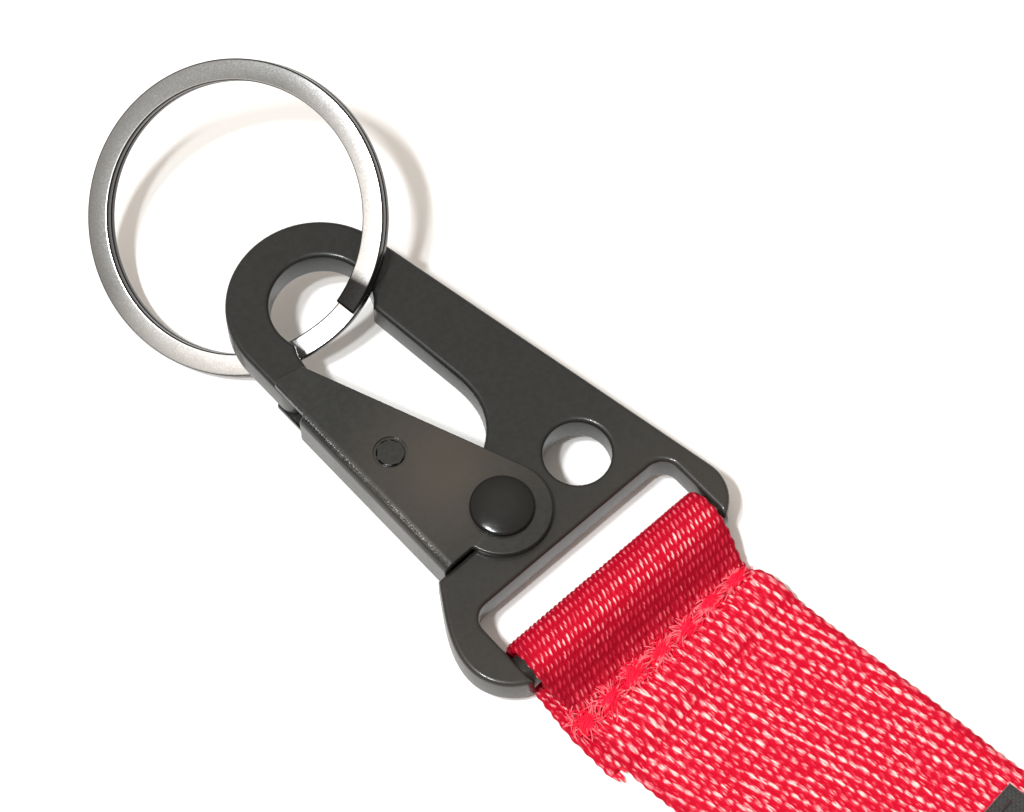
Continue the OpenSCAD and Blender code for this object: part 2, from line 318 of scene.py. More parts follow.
def rounded_copy(node, body, radius, material, segments=4, sharp=38.0, bare=()):
    """The CAD node's own shape with its sharp edges rounded, as a casting or a stamping has them."""
    mesh = frame["nodes"][node].data.copy()
    mesh.materials.clear()
    piece = bpy.data.objects.new(node + "_finished", mesh)
    bpy.context.scene.collection.objects.link(piece)
    work = bmesh.new()
    work.from_mesh(mesh)
    bmesh.ops.remove_doubles(work, verts=work.verts, dist=0.002 * MM)
    bmesh.ops.dissolve_limit(
        work, angle_limit=math.radians(0.6), verts=work.verts, edges=work.edges, delimit={"SEAM"}
    )
    bmesh.ops.triangulate(
        work, faces=[face for face in work.faces if len(face.verts) > 4], ngon_method="EAR_CLIP"
    )
    bmesh.ops.beautify_fill(
        work, faces=[face for face in work.faces if len(face.verts) == 3],
        edges=[edge for edge in work.edges if edge.is_manifold and edge.calc_face_angle() < 0.001],
    )
    for face in work.faces:
        face.smooth = True
    for edge in work.edges:
        edge.smooth = True
    # The rims of holes that another piece fills stay sharp
    kept = []
    for other, reach in bare:
        low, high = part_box(other)
        kept.append(((low + high) / 2, reach * MM))
    weight = work.edges.layers.float.new("bevel_weight_edge")
    for edge in work.edges:
        middle = (edge.verts[0].co + edge.verts[1].co) / 2
        covered = any((middle - at - HOOK_Z * (middle - at).dot(HOOK_Z)).length < reach for at, reach in kept)
        if edge.is_manifold and edge.calc_face_angle() > math.radians(sharp):
            edge[weight] = 0.0 if covered else 1.0
            edge.smooth = not covered
    work.to_mesh(mesh)
    work.free()
    for name in ("custom_normal", "sharp_face"):
        if name in mesh.attributes:
            mesh.attributes.remove(mesh.attributes[name])
    bevel = piece.modifiers.new("edges", "BEVEL")
    bevel.width = radius * MM
    bevel.segments = segments
    bevel.limit_method = "WEIGHT"
    bevel.miter_outer = "MITER_ARC"
    bevel.use_clamp_overlap = False
    normals = piece.modifiers.new("normals", "WEIGHTED_NORMAL")
    normals.mode = "FACE_AREA"
    normals.weight = 90
    normals.keep_sharp = True
    mesh.materials.append(material)
    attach(piece, body)
    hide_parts(node)
    return piece


# Millimetres on the hook's own plane, as part.scad has them
PLATE = 3.9
CAST_ROUND = 0.5                                 # radius of the casting's rims
EYE = np.array([-8.1, 30.2])
EYE_R = 5.4
EYE_RIM_R = 5.9                                  # where part.scad's chamfer leaves the face
POCKET_R = 2.9
POCKET_FLOOR = 0.3
BAR_R = 1.8
BAR_Y = -13.4
BAR_ENDS = (-20.1, 6.7)


def section_loops(node, level):
    """Closed outlines of a CAD node cut parallel to the hook's plane, in millimetres on that plane."""
    work = bmesh.new()
    work.from_mesh(frame["nodes"][node].data)
    bmesh.ops.remove_doubles(work, verts=work.verts, dist=0.001 * MM)
    cut = bmesh.ops.bisect_plane(
        work, geom=work.verts[:] + work.edges[:] + work.faces[:], plane_co=HOOK_Z * level * MM, plane_no=HOOK_Z
    )["geom_cut"]
    edges = {e for e in cut if isinstance(e, bmesh.types.BMEdge)}
    neighbours = {}
    for edge in edges:
        a, b = edge.verts
        neighbours.setdefault(a, []).append(b)
        neighbours.setdefault(b, []).append(a)
    loops = []
    left = set(neighbours)
    while left:
        start = min(left, key=lambda v: (round(v.co.x, 7), round(v.co.y, 7)))
        loop, last, here = [], None, start
        while here in left:
            left.discard(here)
            loop.append(here)
            ahead = [v for v in neighbours[here] if v is not last and v in left]
            last, here = here, ahead[0] if ahead else start
        points = np.array([(v.co.dot(HOOK_X) / MM, v.co.dot(HOOK_Y) / MM) for v in loop])
        loops.append(tidy_loop(points))
    work.free()
    return sorted(loops, key=lambda p: -abs(signed_area(p)))


def signed_area(points):
    x, y = points.T
    return 0.5 * float(np.sum(x * np.roll(y, -1) - y * np.roll(x, -1)))


def corner_turns(points):
    a, b = points - np.roll(points, 1, 0), np.roll(points, -1, 0) - points
    return np.abs(np.degrees(np.arctan2(a[:, 0] * b[:, 1] - a[:, 1] * b[:, 0], np.sum(a * b, axis=1))))


def tidy_loop(points):
    """Merge close points, drop those on straight runs and beside corners, then space long runs evenly."""
    gap, corner_room, longest = 0.08, 0.5, 0.8
    kept = [points[0]]
    for point in points[1:]:
        if np.hypot(*(point - kept[-1])) > gap and np.hypot(*(point - kept[0])) > gap:
            kept.append(point)
    points = np.array(kept)
    turns = corner_turns(points)
    points = points[turns > 0.1]
    turns = corner_turns(points)
    corners = points[turns > 40]
    near = np.array([min([np.hypot(*(p - c)) for c in corners] + [9]) for p in points])
    points = points[(near < 1e-6) | (near > corner_room)]
    out = []
    for p, q in zip(points, np.roll(points, -1, 0)):
        parts = max(1, int(np.hypot(*(q - p)) / longest))
        out += [p + (q - p) * k / parts for k in range(parts)]
    return np.array(out)


def inset(points, distance):
    """Move a loop into the material, which lies on its left."""
    before, after = points - np.roll(points, 1, 0), np.roll(points, -1, 0) - points
    before /= np.hypot(*before.T)[:, None]
    after /= np.hypot(*after.T)[:, None]
    normal = np.stack([-(before + after)[:, 1], (before + after)[:, 0]], -1)
    normal /= np.hypot(*normal.T)[:, None]
    lean = np.clip(np.sum(normal * np.stack([-after[:, 1], after[:, 0]], -1), axis=1), 0.5, 1)
    return points + normal * (distance / lean)[:, None]


def within(point, loop):
    """Whether a point lies inside a loop."""
    a, b = loop, np.roll(loop, -1, 0)
    crosses = (a[:, 1] > point[1]) != (b[:, 1] > point[1])
    with np.errstate(divide="ignore", invalid="ignore"):
        at = a[:, 0] + (point[1] - a[:, 1]) * (b[:, 0] - a[:, 0]) / (b[:, 1] - a[:, 1])
    return bool(np.sum(crosses & (at > point[0])) % 2)


def make_hook():
    """The casting: the CAD node's outline with its rims rounded, the pocket behind, and the round bar."""
    loops = section_loops("hook_frame", PLATE / 2 - 0.08)
    shaped = []
    for number, loop in enumerate(loops):
        if np.ptp(loop, axis=0).max() < 4:       # the rivet's hole, which the rivet fills
            continue
        away = np.hypot(*(loop - EYE).T)
        at_eye = (away < EYE_RIM_R) & (away > EYE_R - 0.1)
        loop[at_eye] = EYE + (loop[at_eye] - EYE) * (EYE_R / away[at_eye])[:, None]
        if (signed_area(loop) > 0) != (number == 0):
            loop = loop[::-1]
        shaped.append(loop)
    steps = 6
    rows = []
    for k in range(steps + 1):
        t = math.pi / 2 * k / steps
        rows.append((CAST_ROUND * (1 - math.sin(t)), PLATE / 2 - CAST_ROUND * (1 - math.cos(t))))
    rows = rows + [(r, -z) for r, z in reversed(rows)]
    points, faces = [], []
    rims = {1: [], -1: []}
    for loop in shaped:
        n, base = len(loop), len(points)
        for into, z in rows:
            points += [(x, y, z) for x, y in inset(loop, into)]
        for r in range(len(rows) - 1):
            for k in range(n):
                a, b = base + r * n + k, base + r * n + (k + 1) % n
                faces.append((a, a + n, b + n, b))
        rims[1].append(range(base, base + n))
        rims[-1].append(range(base + (len(rows) - 1) * n, base + len(rows) * n))
    # Pocket for the gate's spring, open at the back
    pivot = np.array([JOINTS["gate_pivot"]["pos_m"][0] / MM,
                      Vector(JOINTS["gate_pivot"]["pos_m"]).dot(HOOK_Y) / MM])
    circle = [(pivot[0] + POCKET_R * math.cos(t), pivot[1] + POCKET_R * math.sin(t))
              for t in np.arange(0, 2 * math.pi - 0.01, math.pi / 32)]
    base, n = len(points), len(circle)
    points += [(x, y, -PLATE / 2) for x, y in circle] + [(x, y, POCKET_FLOOR) for x, y in circle]
    faces += [(base + k, base + (k + 1) % n, base + n + (k + 1) % n, base + n + k) for k in range(n)]
    faces.append(tuple(range(base + n, base + 2 * n))[::-1])
    rims[-1].append(range(base, base + n))
    for side, rings in rims.items():
        index = [i for ring in rings for i in ring]
        flat = [Vector(points[i][:2]) for i in index]
        edges, at = [], 0
        for ring in rings:
            edges += [(at + k, at + (k + 1) % len(ring)) for k in range(len(ring))]
            at += len(ring)
        _, _, triangles, source, _, _ = delaunay_2d_cdt(flat, edges, [], 1, 1e-6)
        order = [index[item[0]] for item in source]
        holes = [np.array([points[i][:2] for i in ring]) for ring in rings[1:]]
        for triangle in triangles:
            a, b, c = (order[i] for i in triangle)
            middle = (np.array(points[a][:2]) + points[b][:2] + points[c][:2]) / 3
            if not any(within(middle, hole) for hole in holes):
                faces.append((a, b, c) if side > 0 else (c, b, a))
    # Bar under the webbing
    base, n = len(points), 48
    for x in BAR_ENDS:
        points += [(x, BAR_Y + BAR_R * math.cos(2 * math.pi * k / n), BAR_R * math.sin(2 * math.pi * k / n))
                   for k in range(n)]
    faces += [(base + k, base + (k + 1) % n, base + n + (k + 1) % n, base + n + k) for k in range(n)]
    faces += [tuple(range(base, base + n))[::-1], tuple(range(base + n, base + 2 * n))]
    mesh = bpy.data.meshes.new("hook_casting")
    mesh.from_pydata([on_hook(*p) for p in points], [], faces)
    piece = bpy.data.objects.new("hook_casting", mesh)
    bpy.context.scene.collection.objects.link(piece)
    for polygon in mesh.polygons:
        polygon.use_smooth = abs(polygon.normal.dot(HOOK_Z)) < 0.999
    # The casting's coating is painted a little greyer towards the strap, as painted light
    mesh.materials.append(black_coating("cast_black", 0.009, 0.4, warm=lower_painted_light))
    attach(piece, "frame")
    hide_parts("hook_frame")
    return piece


# The resting ring, in millimetres and as part.scad has it
RING_R = 16.5
RING_WIDE = 2.3
RING_THICK = 2.1
RING_TILT = math.radians(34)
RING_TURN = math.radians(21)


def make_ring():
    """One flat wire wound twice, with rolled edges, stepping down under its own cut end."""
    start, sweep, joggle = 254.0, 684.0, (335.0, 359.0)
    count = 684
    half_w, half_h, corner = RING_WIDE / 2, RING_THICK / 4 - 0.015, 0.24
    section = []
    for cx, cz, a0 in ((1, 1, 0), (-1, 1, 90), (-1, -1, 180), (1, -1, 270)):
        for k in range(6):
            t = math.radians(a0 + 18 * k)
            section.append((cx * (half_w - corner) + corner * math.cos(t),
                            cz * (half_h - corner) + corner * math.sin(t)))
    section = np.array(section)
    turn = Matrix.Rotation(RING_TURN, 3, "Z") @ Matrix.Rotation(-RING_TILT, 3, "Y")
    centre = Vector(JOINTS["ring_swing"]["pos_m"])
    run = np.linspace(0, sweep, count)
    s = np.clip((run - joggle[0]) / (joggle[1] - joggle[0]), 0, 1)
    z = RING_THICK / 4 * (1 - 2 * (3 * s * s - 2 * s ** 3))
    angle = np.radians(run + start)
    radius = RING_R - half_w + section[None, :, 0]
    points = np.stack([radius * np.cos(angle)[:, None], radius * np.sin(angle)[:, None],
                       z[:, None] + section[None, :, 1]], -1).reshape(-1, 3) * MM
    points = points @ np.array(turn).T + np.array(centre)
    m = len(section)
    faces, uvs = [], []
    for i in range(count - 1):
        for k in range(m):
            faces.append((i * m + k, i * m + (k + 1) % m, (i + 1) * m + (k + 1) % m, (i + 1) * m + k))
            uvs += [(i / count, k / m), (i / count, (k + 1) / m),
                    ((i + 1) / count, (k + 1) / m), ((i + 1) / count, k / m)]
    faces.append(tuple(range(m))[::-1])
    faces.append(tuple(range((count - 1) * m, count * m)))
    uvs += [(0, 0)] * (2 * m)
    mesh = bpy.data.meshes.new("ring_wire")
    mesh.from_pydata(points.tolist(), [], [f[::-1] for f in faces])
    mesh.uv_layers.new(name="wire").data.foreach_set(
        "uv", np.array(uvs, dtype=np.float32).ravel())
    mesh.polygons.foreach_set("use_smooth", [True] * (len(faces) - 2) + [False] * 2)
    # Where flat is 0 the wire is painted near black, a painted dark reflection on its walls; the face takes it too
    # over the wire's first few degrees
    flat = np.tile(np.abs(section[:, 0]) < half_w - 0.55 * corner, count)
    flat = flat * np.repeat(np.clip((run - 11) / 5, 0, 1), m)
    # Mask for a painted highlight along the inner edge of the face
    near = np.tile(section[:, 0] < corner - half_w, count)
    # Mask for a painted reflection that makes the face brighter towards one side
    painted_reflection_side = np.repeat(0.5 - 0.5 * np.sin(angle + RING_TURN), m)
    for key, values in (("flat", flat), ("inner", near), ("painted_reflection_side", painted_reflection_side)):
        layer = mesh.attributes.new(key, "FLOAT", "POINT")
        layer.data.foreach_set("value", values.astype(np.float32))
    piece = bpy.data.objects.new("ring_wire", mesh)
    bpy.context.scene.collection.objects.link(piece)
    n = Nodes("ring_steel")
    uv = n.add("ShaderNodeUVMap").outputs["UV"]
    wire = n.add("ShaderNodeMapping", {"Vector": uv, "Scale": (160, 46, 1)}).outputs["Vector"]
    lines = n.noise(1.0, 3, 0.6, wire)
    fine = n.noise(6000, 2)
    # Painted reflection: the face is painted from grey to white around the ring, with a painted highlight in white
    # along its inner edge
    bright = n.ramp(n.attribute("painted_reflection_side").outputs["Fac"], 0.33, 0.9)
    face = n.mix(bright, (0.3, 0.31, 0.315, 1), (1.0, 1.0, 1.0, 1))
    face = n.mix(n.ramp(lines, 0.35, 0.7, 0.0, 0.16), face, (0.25, 0.25, 0.25, 1))
    edge = n.math("MULTIPLY", n.attribute("inner").outputs["Fac"], 0.9)
    face = n.mix(edge, face, (1.0, 1.0, 1.0, 1))
    n.set(
        Base_Color=n.mix(n.attribute("flat").outputs["Fac"], (0.035, 0.034, 0.034, 1), face),
        Metallic=1.0,
        Roughness=n.ramp(fine, 0.3, 0.7, 0.2, 0.28),
        Normal=n.bump(lines, 0.004 * MM, 0.4),
    )
    mesh.materials.append(n.material)
    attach(piece, "ring")
    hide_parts("split_ring")
    return piece


# ---- Webbing ----------------------------------------------------------------------

# Millimetres. LAYER is half of one thickness; distances run from the bar along the strap.
WEB_WIDTH = 25.4
WEB_THICK = 1.2
LAYER = WEB_THICK / 2
BAR = Vector(JOINTS["strap_swing"]["pos_m"]) / MM
LOOP_R = BAR.z - TABLE_Z / MM - LAYER            # middle of the webbing round the bar, down to the table
SEAM = 7.2
SKEW = math.radians(6)                           # the strap leaves the hook at this angle
TAIL_END = 12.0
MAIN_END = SEAM + 108.0
HEM = 14.0
PATH_STEP = 0.17


def smooth(values, low, high):
    t = np.clip((values - low) / (high - low), 0, 1)
    return t * t * (3 - 2 * t)


def scatter(i, j, seed):
    """A repeatable random number in 0..1 for each pair of whole numbers."""
    value = np.sin(i * 12.9898 + j * 78.233 + seed * 37.719) * 43758.5453
    return value - np.floor(value)


def drift(x, y, seed):
    """Slow smooth unevenness, about -1..1."""
    return (np.sin(x * 0.9 + 1.7 * np.sin(y * 0.23 + seed)) + np.sin(y * 0.55 + seed * 2.1 + 0.6 * x)
            + np.sin(0.37 * x - 0.81 * y + seed)) / 3


def floats(x, y, step_a, step_b, size, lean, seed):
    """Yarn floats on a lattice: crest height and tone at each place, 0 in the gaps between them."""
    cell = np.array([step_a, step_b]).T
    back = np.linalg.inv(cell)
    a = back[0, 0] * x + back[0, 1] * y
    b = back[1, 0] * x + back[1, 1] * y
    a0, b0 = np.round(a), np.round(b)
    crest = np.zeros_like(x)
    tone = np.zeros_like(x)
    c, s = math.cos(lean), math.sin(lean)
    for i in (-1, 0, 1):
        for j in (-1, 0, 1):
            ia, jb = a0 + i, b0 + j
            r1, r2 = scatter(ia, jb, seed), scatter(ia, jb, seed + 1)
            cx = cell[0, 0] * ia + cell[0, 1] * jb + (r1 - 0.5) * 0.08
            cy = cell[1, 0] * ia + cell[1, 1] * jb + (r2 - 0.5) * 0.13
            dx, dy = x - cx, y - cy
            along = (dx * s + dy * c) / (size[1] * (0.85 + 0.3 * r1))
            side = (dx * c - dy * s) / (size[0] * (0.85 + 0.3 * r2))
            height = np.sqrt(np.clip(1 - along * along - side * side, 0, 1)) * (0.8 + 0.2 * r1)
            higher = height > crest
            crest = np.where(higher, height, crest)
            tone = np.where(higher, scatter(ia, jb, seed + 2), tone)
    return crest, tone


def strap_path():
    """Middle of the webbing seen along the bar: distance from the bar and height above the table."""
    bar_height = LOOP_R + LAYER
    points = []
    # The hem's folded-over end on top, the turn at the far end, then the long run
    for d in np.arange(MAIN_END - HEM, MAIN_END - 0.8, 1.0):
        points.append((d, 3 * LAYER + 0.02))
    for angle in np.arange(90, -91, -22.5):
        t = math.radians(angle)
        points.append((MAIN_END - 0.6 + 0.6 * math.cos(t), 2 * LAYER + 0.01 + (LAYER + 0.01) * math.sin(t)))
    for d in np.arange(MAIN_END - 1.6, SEAM + 9.0, -1.0):
        points.append((d, LAYER))
    # Up over the tail and the seam, then round the bar
    points += [(SEAM + 7.4, LAYER), (SEAM + 6.0, LAYER + 0.14), (SEAM + 4.8, 3 * LAYER - 0.2),
               (SEAM + 3.6, 3 * LAYER + 0.05), (SEAM + 2.0, 3 * LAYER + 0.03), (SEAM + 0.8, 3 * LAYER - 0.12),
               (SEAM, 3 * LAYER - 0.2), (SEAM - 1.0, 3 * LAYER), (SEAM - 2.2, 3 * LAYER + 0.62),
               (SEAM - 3.6, 3 * LAYER + 1.5)]
    for angle in np.arange(42, 271, 12):
        t = math.radians(angle)
        points.append((LOOP_R * math.cos(t), bar_height + LOOP_R * math.sin(t)))
    for d in np.arange(1.0, TAIL_END + 0.1, 1.0):
        points.append((d, LAYER))
    return np.array(points)


def resample(points, step):
    """Round a path's corners and space it evenly: distance along it, and its points."""
    for _ in range(2):
        quarter = np.empty((2 * len(points), 2))
        quarter[0::2] = points * 0.75 + np.vstack([points[:1], points[:-1]]) * 0.25
        quarter[1::2] = points * 0.75 + np.vstack([points[1:], points[-1:]]) * 0.25
        points = quarter
    length = np.concatenate([[0], np.cumsum(np.hypot(*np.diff(points, axis=0).T))])
    keep = np.concatenate([[True], np.diff(length) > 1e-9])
    length, points = length[keep], points[keep]
    s = np.linspace(0, length[-1], int(length[-1] / step))
    return s, np.c_[np.interp(s, length, points[:, 0]), np.interp(s, length, points[:, 1])]


def strap_place(across, d, height, sideways=0.0):
    """Row-frame points, in metres, of places on the strap: across, away from the bar, above the table."""
    over = np.maximum(d - SEAM, 0)
    blend = smooth(d, SEAM - 2.0, SEAM + 2.5) * SKEW
    x = BAR.x + across * np.cos(blend) + over * math.sin(SKEW) + sideways
    y = BAR.y - np.minimum(d, SEAM) - over * math.cos(SKEW) + across * np.sin(blend)
    return np.stack([x, y, TABLE_Z / MM + height], axis=-1) * MM


def grid_mesh(name, top, bottom, values):
    """Closed sheet from two matching grids of points."""
    rows, cols = top.shape[:2]
    count = rows * cols
    points = np.concatenate([top.reshape(-1, 3), bottom.reshape(-1, 3)])
    index = np.arange(count).reshape(rows, cols)
    quads = np.stack([index[:-1, :-1], index[:-1, 1:], index[1:, 1:], index[1:, :-1]], -1).reshape(-1, 4)
    faces = [quads, quads[:, ::-1] + count]
    for edge in (index[0, ::-1], index[-1, :], index[:, 0], index[::-1, -1]):
        faces.append(np.stack([edge[:-1], edge[:-1] + count, edge[1:] + count, edge[1:]], -1)[:, ::-1])
    faces = np.concatenate(faces)
    mesh = bpy.data.meshes.new(name)
    mesh.vertices.add(len(points))
    mesh.vertices.foreach_set("co", points.astype(np.float32).ravel())
    mesh.loops.add(faces.size)
    mesh.loops.foreach_set("vertex_index", faces.astype(np.int32).ravel())
    mesh.polygons.add(len(faces))
    mesh.polygons.foreach_set("loop_start", np.arange(0, faces.size, 4, dtype=np.int32))
    mesh.polygons.foreach_set("use_smooth", np.ones(len(faces), dtype=bool))
    mesh.update(calc_edges=True)
    mesh.validate()
    for key, (upper, lower) in values.items():
        layer = mesh.attributes.new(key, "FLOAT", "POINT")
        layer.data.foreach_set("value", np.concatenate([upper.ravel(), lower.ravel()]).astype(np.float32))
    piece = bpy.data.objects.new(name, mesh)
    bpy.context.scene.collection.objects.link(piece)
    return piece


def add_uv(piece, u, v):
    """UV in metres of cloth, u across and v along, for each vertex."""
    mesh = piece.data
    layer = mesh.uv_layers.new(name="cloth")
    vertex = np.empty(len(mesh.loops), dtype=np.int32)
    mesh.loops.foreach_get("vertex_index", vertex)
    layer.data.foreach_set("uv", np.stack([u[vertex], v[vertex]], -1).astype(np.float32).ravel())


BETWEEN = 0.66                                   # height of the floats between the main ones
RELIEF = 0.13                                    # depth of the gaps between floats


def weave(across, along, d, side):
    """Crest height and tone of the weave on one face: coarse floats, and finer ones in the loop."""
    row, column = np.array([-0.25 * side, 1.2]), np.array([-1.14, -0.06 * side])
    crest, tone = floats(across, along, row, column, (0.34, 0.78),
                         math.radians(-2) * side, 3)
    between, _ = floats(across + 0.57, along + 0.35, row, column, (0.26, 0.6),
                        math.radians(4) * side, 6)
    crest = np.maximum(crest, BETWEEN * between)
    fine, fine_tone = floats(across, along, np.array([0.2, 1.05]), np.array([-0.55, 0.02]), (0.17, 0.56),
                             math.radians(24), 9)
    in_loop = (1 - smooth(d, SEAM - 1.2, SEAM + 1.0)) * np.ones_like(crest)
    return crest * (1 - in_loop) + fine * in_loop, tone * (1 - in_loop) + fine_tone * in_loop


def make_strap():
    """The webbing as one closed sheet along its path, its weave in relief on both faces."""
    step = PATH_STEP
    cols = 190
    s, path = resample(strap_path(), step)
    tangent = np.gradient(path, axis=0)
    tangent /= np.hypot(*tangent.T)[:, None]
    normal = np.c_[tangent[:, 1], -tangent[:, 0]]
    u = np.linspace(-1, 1, cols)
    d, height = path[:, :1], path[:, 1:]
    along = s[:, None] + 0 * u[None]
    lead = s[np.argmin(d[:, 0])]                # the loop's edge furthest into the slot
    tail = (s >= lead)[:, None]
    near_seam = np.exp(-((d - SEAM + 1.0) / 2.4) ** 2) * ~tail
    half = WEB_WIDTH / 2 - 0.9 * near_seam - 0.12
    scallop = 0.07 * np.sin(along * 2 * math.pi / 1.33)
    across = u[None] * (half + scallop * (np.abs(u[None]) > 0.96))
    sideways = np.where(tail, -0.25 - 0.1 * np.maximum(d, 0), 0.0)
    sideways = sideways + 0.14 * drift(along * 0.35, 0 * along, 2) * (d > 0)
    crest_top, tone_top = weave(across, along, d, 1)
    crest_low, tone_low = weave(across, along, d, -1)
    edge = np.abs(u[None]) * WEB_WIDTH / 2
    rim = np.clip((WEB_WIDTH / 2 - edge) / 0.55, 0, 1)
    round_off = np.sqrt(np.clip(1 - (1 - rim) ** 2, 0.02, 1))
    up = (LAYER - RELIEF * (1 - crest_top)) * round_off
    down = (LAYER - RELIEF * (1 - crest_low)) * round_off
    # Puckers that gather the loop into each bar tack, and the dip along the seam
    tack = 0.5 + 0.5 * np.cos((across + 1.1) * 2 * math.pi / TACK_PITCH)
    pull = np.exp(-((d - SEAM + 1.3) / 1.7) ** 2) * ~tail
    dip = np.exp(-((d - SEAM) / 0.7) ** 2) * ~tail
    fine_pull = np.sin((across + 0.5 * np.sin(d * 1.1)) * 2 * math.pi / 0.9)
    lift = -0.34 * pull * tack + 0.09 * pull * fine_pull - 0.3 * dip * (0.5 + 0.5 * tack)
    top = path[:, None, :] + normal[:, None, :] * (up + lift)[..., None]
    low = path[:, None, :] - normal[:, None, :] * (down - lift * (lift < 0))[..., None]
    top_at = strap_place(across, top[..., 0], top[..., 1], sideways)
    low_at = strap_place(across, low[..., 0], low[..., 1], sideways)
    # Painted shade makes the loop deep red, deepest on the side towards the seam, and a painted highlight shines
    # in a band along its top
    in_loop = (1 - smooth(d, SEAM - 1.5, SEAM + 0.5)) * ~tail
    falling = 1 - smooth(s, lead - 3.2, lead - 2.0)[:, None]    # the side that comes down to the seam
    dark = np.exp(-((d - 3.8) / 1.7) ** 2) * falling
    band = np.exp(-((d - 0.9) / 0.75) ** 2) * (height > 4 * LAYER)
    shade = in_loop * (0.45 + 0.55 * dark) * (1 - 0.75 * band) + 0 * u[None]
    # gloss sets how much painted highlight shows: less in the loop, more in its top band and by the seam
    gathered = np.exp(-((d - SEAM) / 1.3) ** 2) * ~tail
    gloss = 1.1 - in_loop * (0.72 + 0.24 * dark) + 1.3 * in_loop * band + 0.45 * gathered + 0 * u[None]
    # The selvedges are darker and get fewer painted highlights
    selvedge = smooth(np.abs(u[None]), 0.9, 0.95)
    gloss = gloss * (1 - 0.45 * selvedge)
    shade = np.clip(shade + 0.3 * selvedge, 0, 1)
    strap = grid_mesh("webbing", top_at, low_at, {
        "crest": (crest_top, crest_low), "tone": (tone_top, tone_low),
        "shade": (shade, shade), "gloss": (gloss, gloss)})
    add_uv(strap, np.tile(across.ravel(), 2) * MM, np.tile(along.ravel(), 2) * MM)
    strap.data.materials.append(yarn_material("webbing_red"))
    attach(strap, "strap")
    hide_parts("webbing_strap")
    return strap


class Threads:
    """Collects round strands into one mesh."""

    def __init__(self):
        self.points, self.faces = [], []

    def add(self, line, radius, sides=6):
        line = np.asarray(line, dtype=float)
        tangent = np.gradient(line, axis=0)
        tangent /= np.linalg.norm(tangent, axis=1)[:, None]
        side = np.cross(tangent, (0.13, 0.21, 0.97))
        side /= np.linalg.norm(side, axis=1)[:, None]
        other = np.cross(tangent, side)
        angle = np.arange(sides) * 2 * math.pi / sides
        taper = np.ones(len(line))
        taper[[0, -1]] = 0.45
        rings = line[:, None] + radius * taper[:, None, None] * (
            np.cos(angle)[None, :, None] * side[:, None] + np.sin(angle)[None, :, None] * other[:, None])
        base = sum(len(p) for p in self.points)
        self.points.append(rings.reshape(-1, 3))
        for i in range(len(line) - 1):
            for k in range(sides):
                a, b = base + i * sides + k, base + i * sides + (k + 1) % sides
                self.faces.append((a, b, b + sides, a + sides))
        self.faces.append(tuple(base + k for k in range(sides))[::-1])
        last = base + (len(line) - 1) * sides
        self.faces.append(tuple(last + k for k in range(sides)))

    def build(self, name, material, node, body="strap"):
        mesh = bpy.data.meshes.new(name)
        mesh.from_pydata(np.concatenate(self.points).tolist(), [], self.faces)
        mesh.polygons.foreach_set("use_smooth", np.ones(len(mesh.polygons), dtype=bool))
        mesh.materials.append(material)
        piece = bpy.data.objects.new(name, mesh)
        bpy.context.scene.collection.objects.link(piece)
        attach(piece, body)
        if node:
            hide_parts(node)
        return piece


TACK_PITCH = 3.55
TACKS = 7


def strap_line(points):
    """A strand given as rows of across, away from the bar, above the table, in millimetres."""
    points = np.asarray(points, dtype=float)
    return strap_place(points[:, 0], points[:, 1], points[:, 2])


def make_seam(red):
    """Seven fuzzy bar tacks joined by slack strands, with fine fibres standing off them."""
    rng = np.random.default_rng(11)
    threads = Threads()
    top = 4 * LAYER - 0.18
    centres = [(-1.1 + TACK_PITCH * k, SEAM + 0.15 * math.sin(2.1 * k)) for k in range(-3, 4)]
    for cx, cd in centres:
        for k in range(60):
            t = rng.normal(0, 0.62)
            start = np.array([cx - 1.05 + t * 0.5 + rng.normal(0, 0.34), cd + 0.3 + rng.normal(0, 0.3)])
            end = np.array([cx + 1.05 + t * 0.5 + rng.normal(0, 0.34), cd - 0.3 + rng.normal(0, 0.3)])
            bow = rng.normal(0, 0.35)
            rise = rng.uniform(0.1, 0.62)
            line = []
            for f in np.linspace(0, 1, 9):
                hump = math.sin(math.pi * f)
                line.append((start[0] + (end[0] - start[0]) * f + bow * hump * 0.4,
                             start[1] + (end[1] - start[1]) * f + bow * hump, top - 0.16 + rise * hump))
            threads.add(strap_line(line), rng.uniform(0.04, 0.085) * MM)
    for (ax, ad), (bx, bd) in zip(centres[:-1], centres[1:]):
        for k in range(2):
            line = []
            wave = rng.normal(0, 0.16)
            for f in np.linspace(0, 1, 12):
                line.append((ax + 0.8 + (bx - ax - 1.6) * f + rng.normal(0, 0.015),
                             ad - 0.2 + (bd - ad + 0.4) * f + wave * math.sin(math.pi * f) + rng.normal(0, 0.02),
                             top - 0.06 + 0.1 * math.sin(math.pi * f) + 0.04 * k))
            threads.add(strap_line(line), rng.uniform(0.06, 0.1) * MM)
    for k in range(420):
        cx, cd = centres[k % TACKS]
        x, d = cx + rng.normal(0, 0.95), cd + rng.normal(0, 0.55)
        heading, reach = rng.uniform(0, 2 * math.pi), rng.uniform(0.6, 1.8)
        curl = rng.normal(0, 1.2)
        rise = rng.uniform(0.1, 0.5)
        line, hx, hd = [], x, d
        for f in np.linspace(0, 1, 8):
            line.append((hx, hd, top + rise * math.sin(math.pi * f * 0.8)))
            hx += math.cos(heading + curl * f) * reach / 8
            hd += math.sin(heading + curl * f) * reach / 8
        threads.add(strap_line(line), 0.03 * MM, 4)
    return threads.build("seam_threads", red, "loop_stitching")


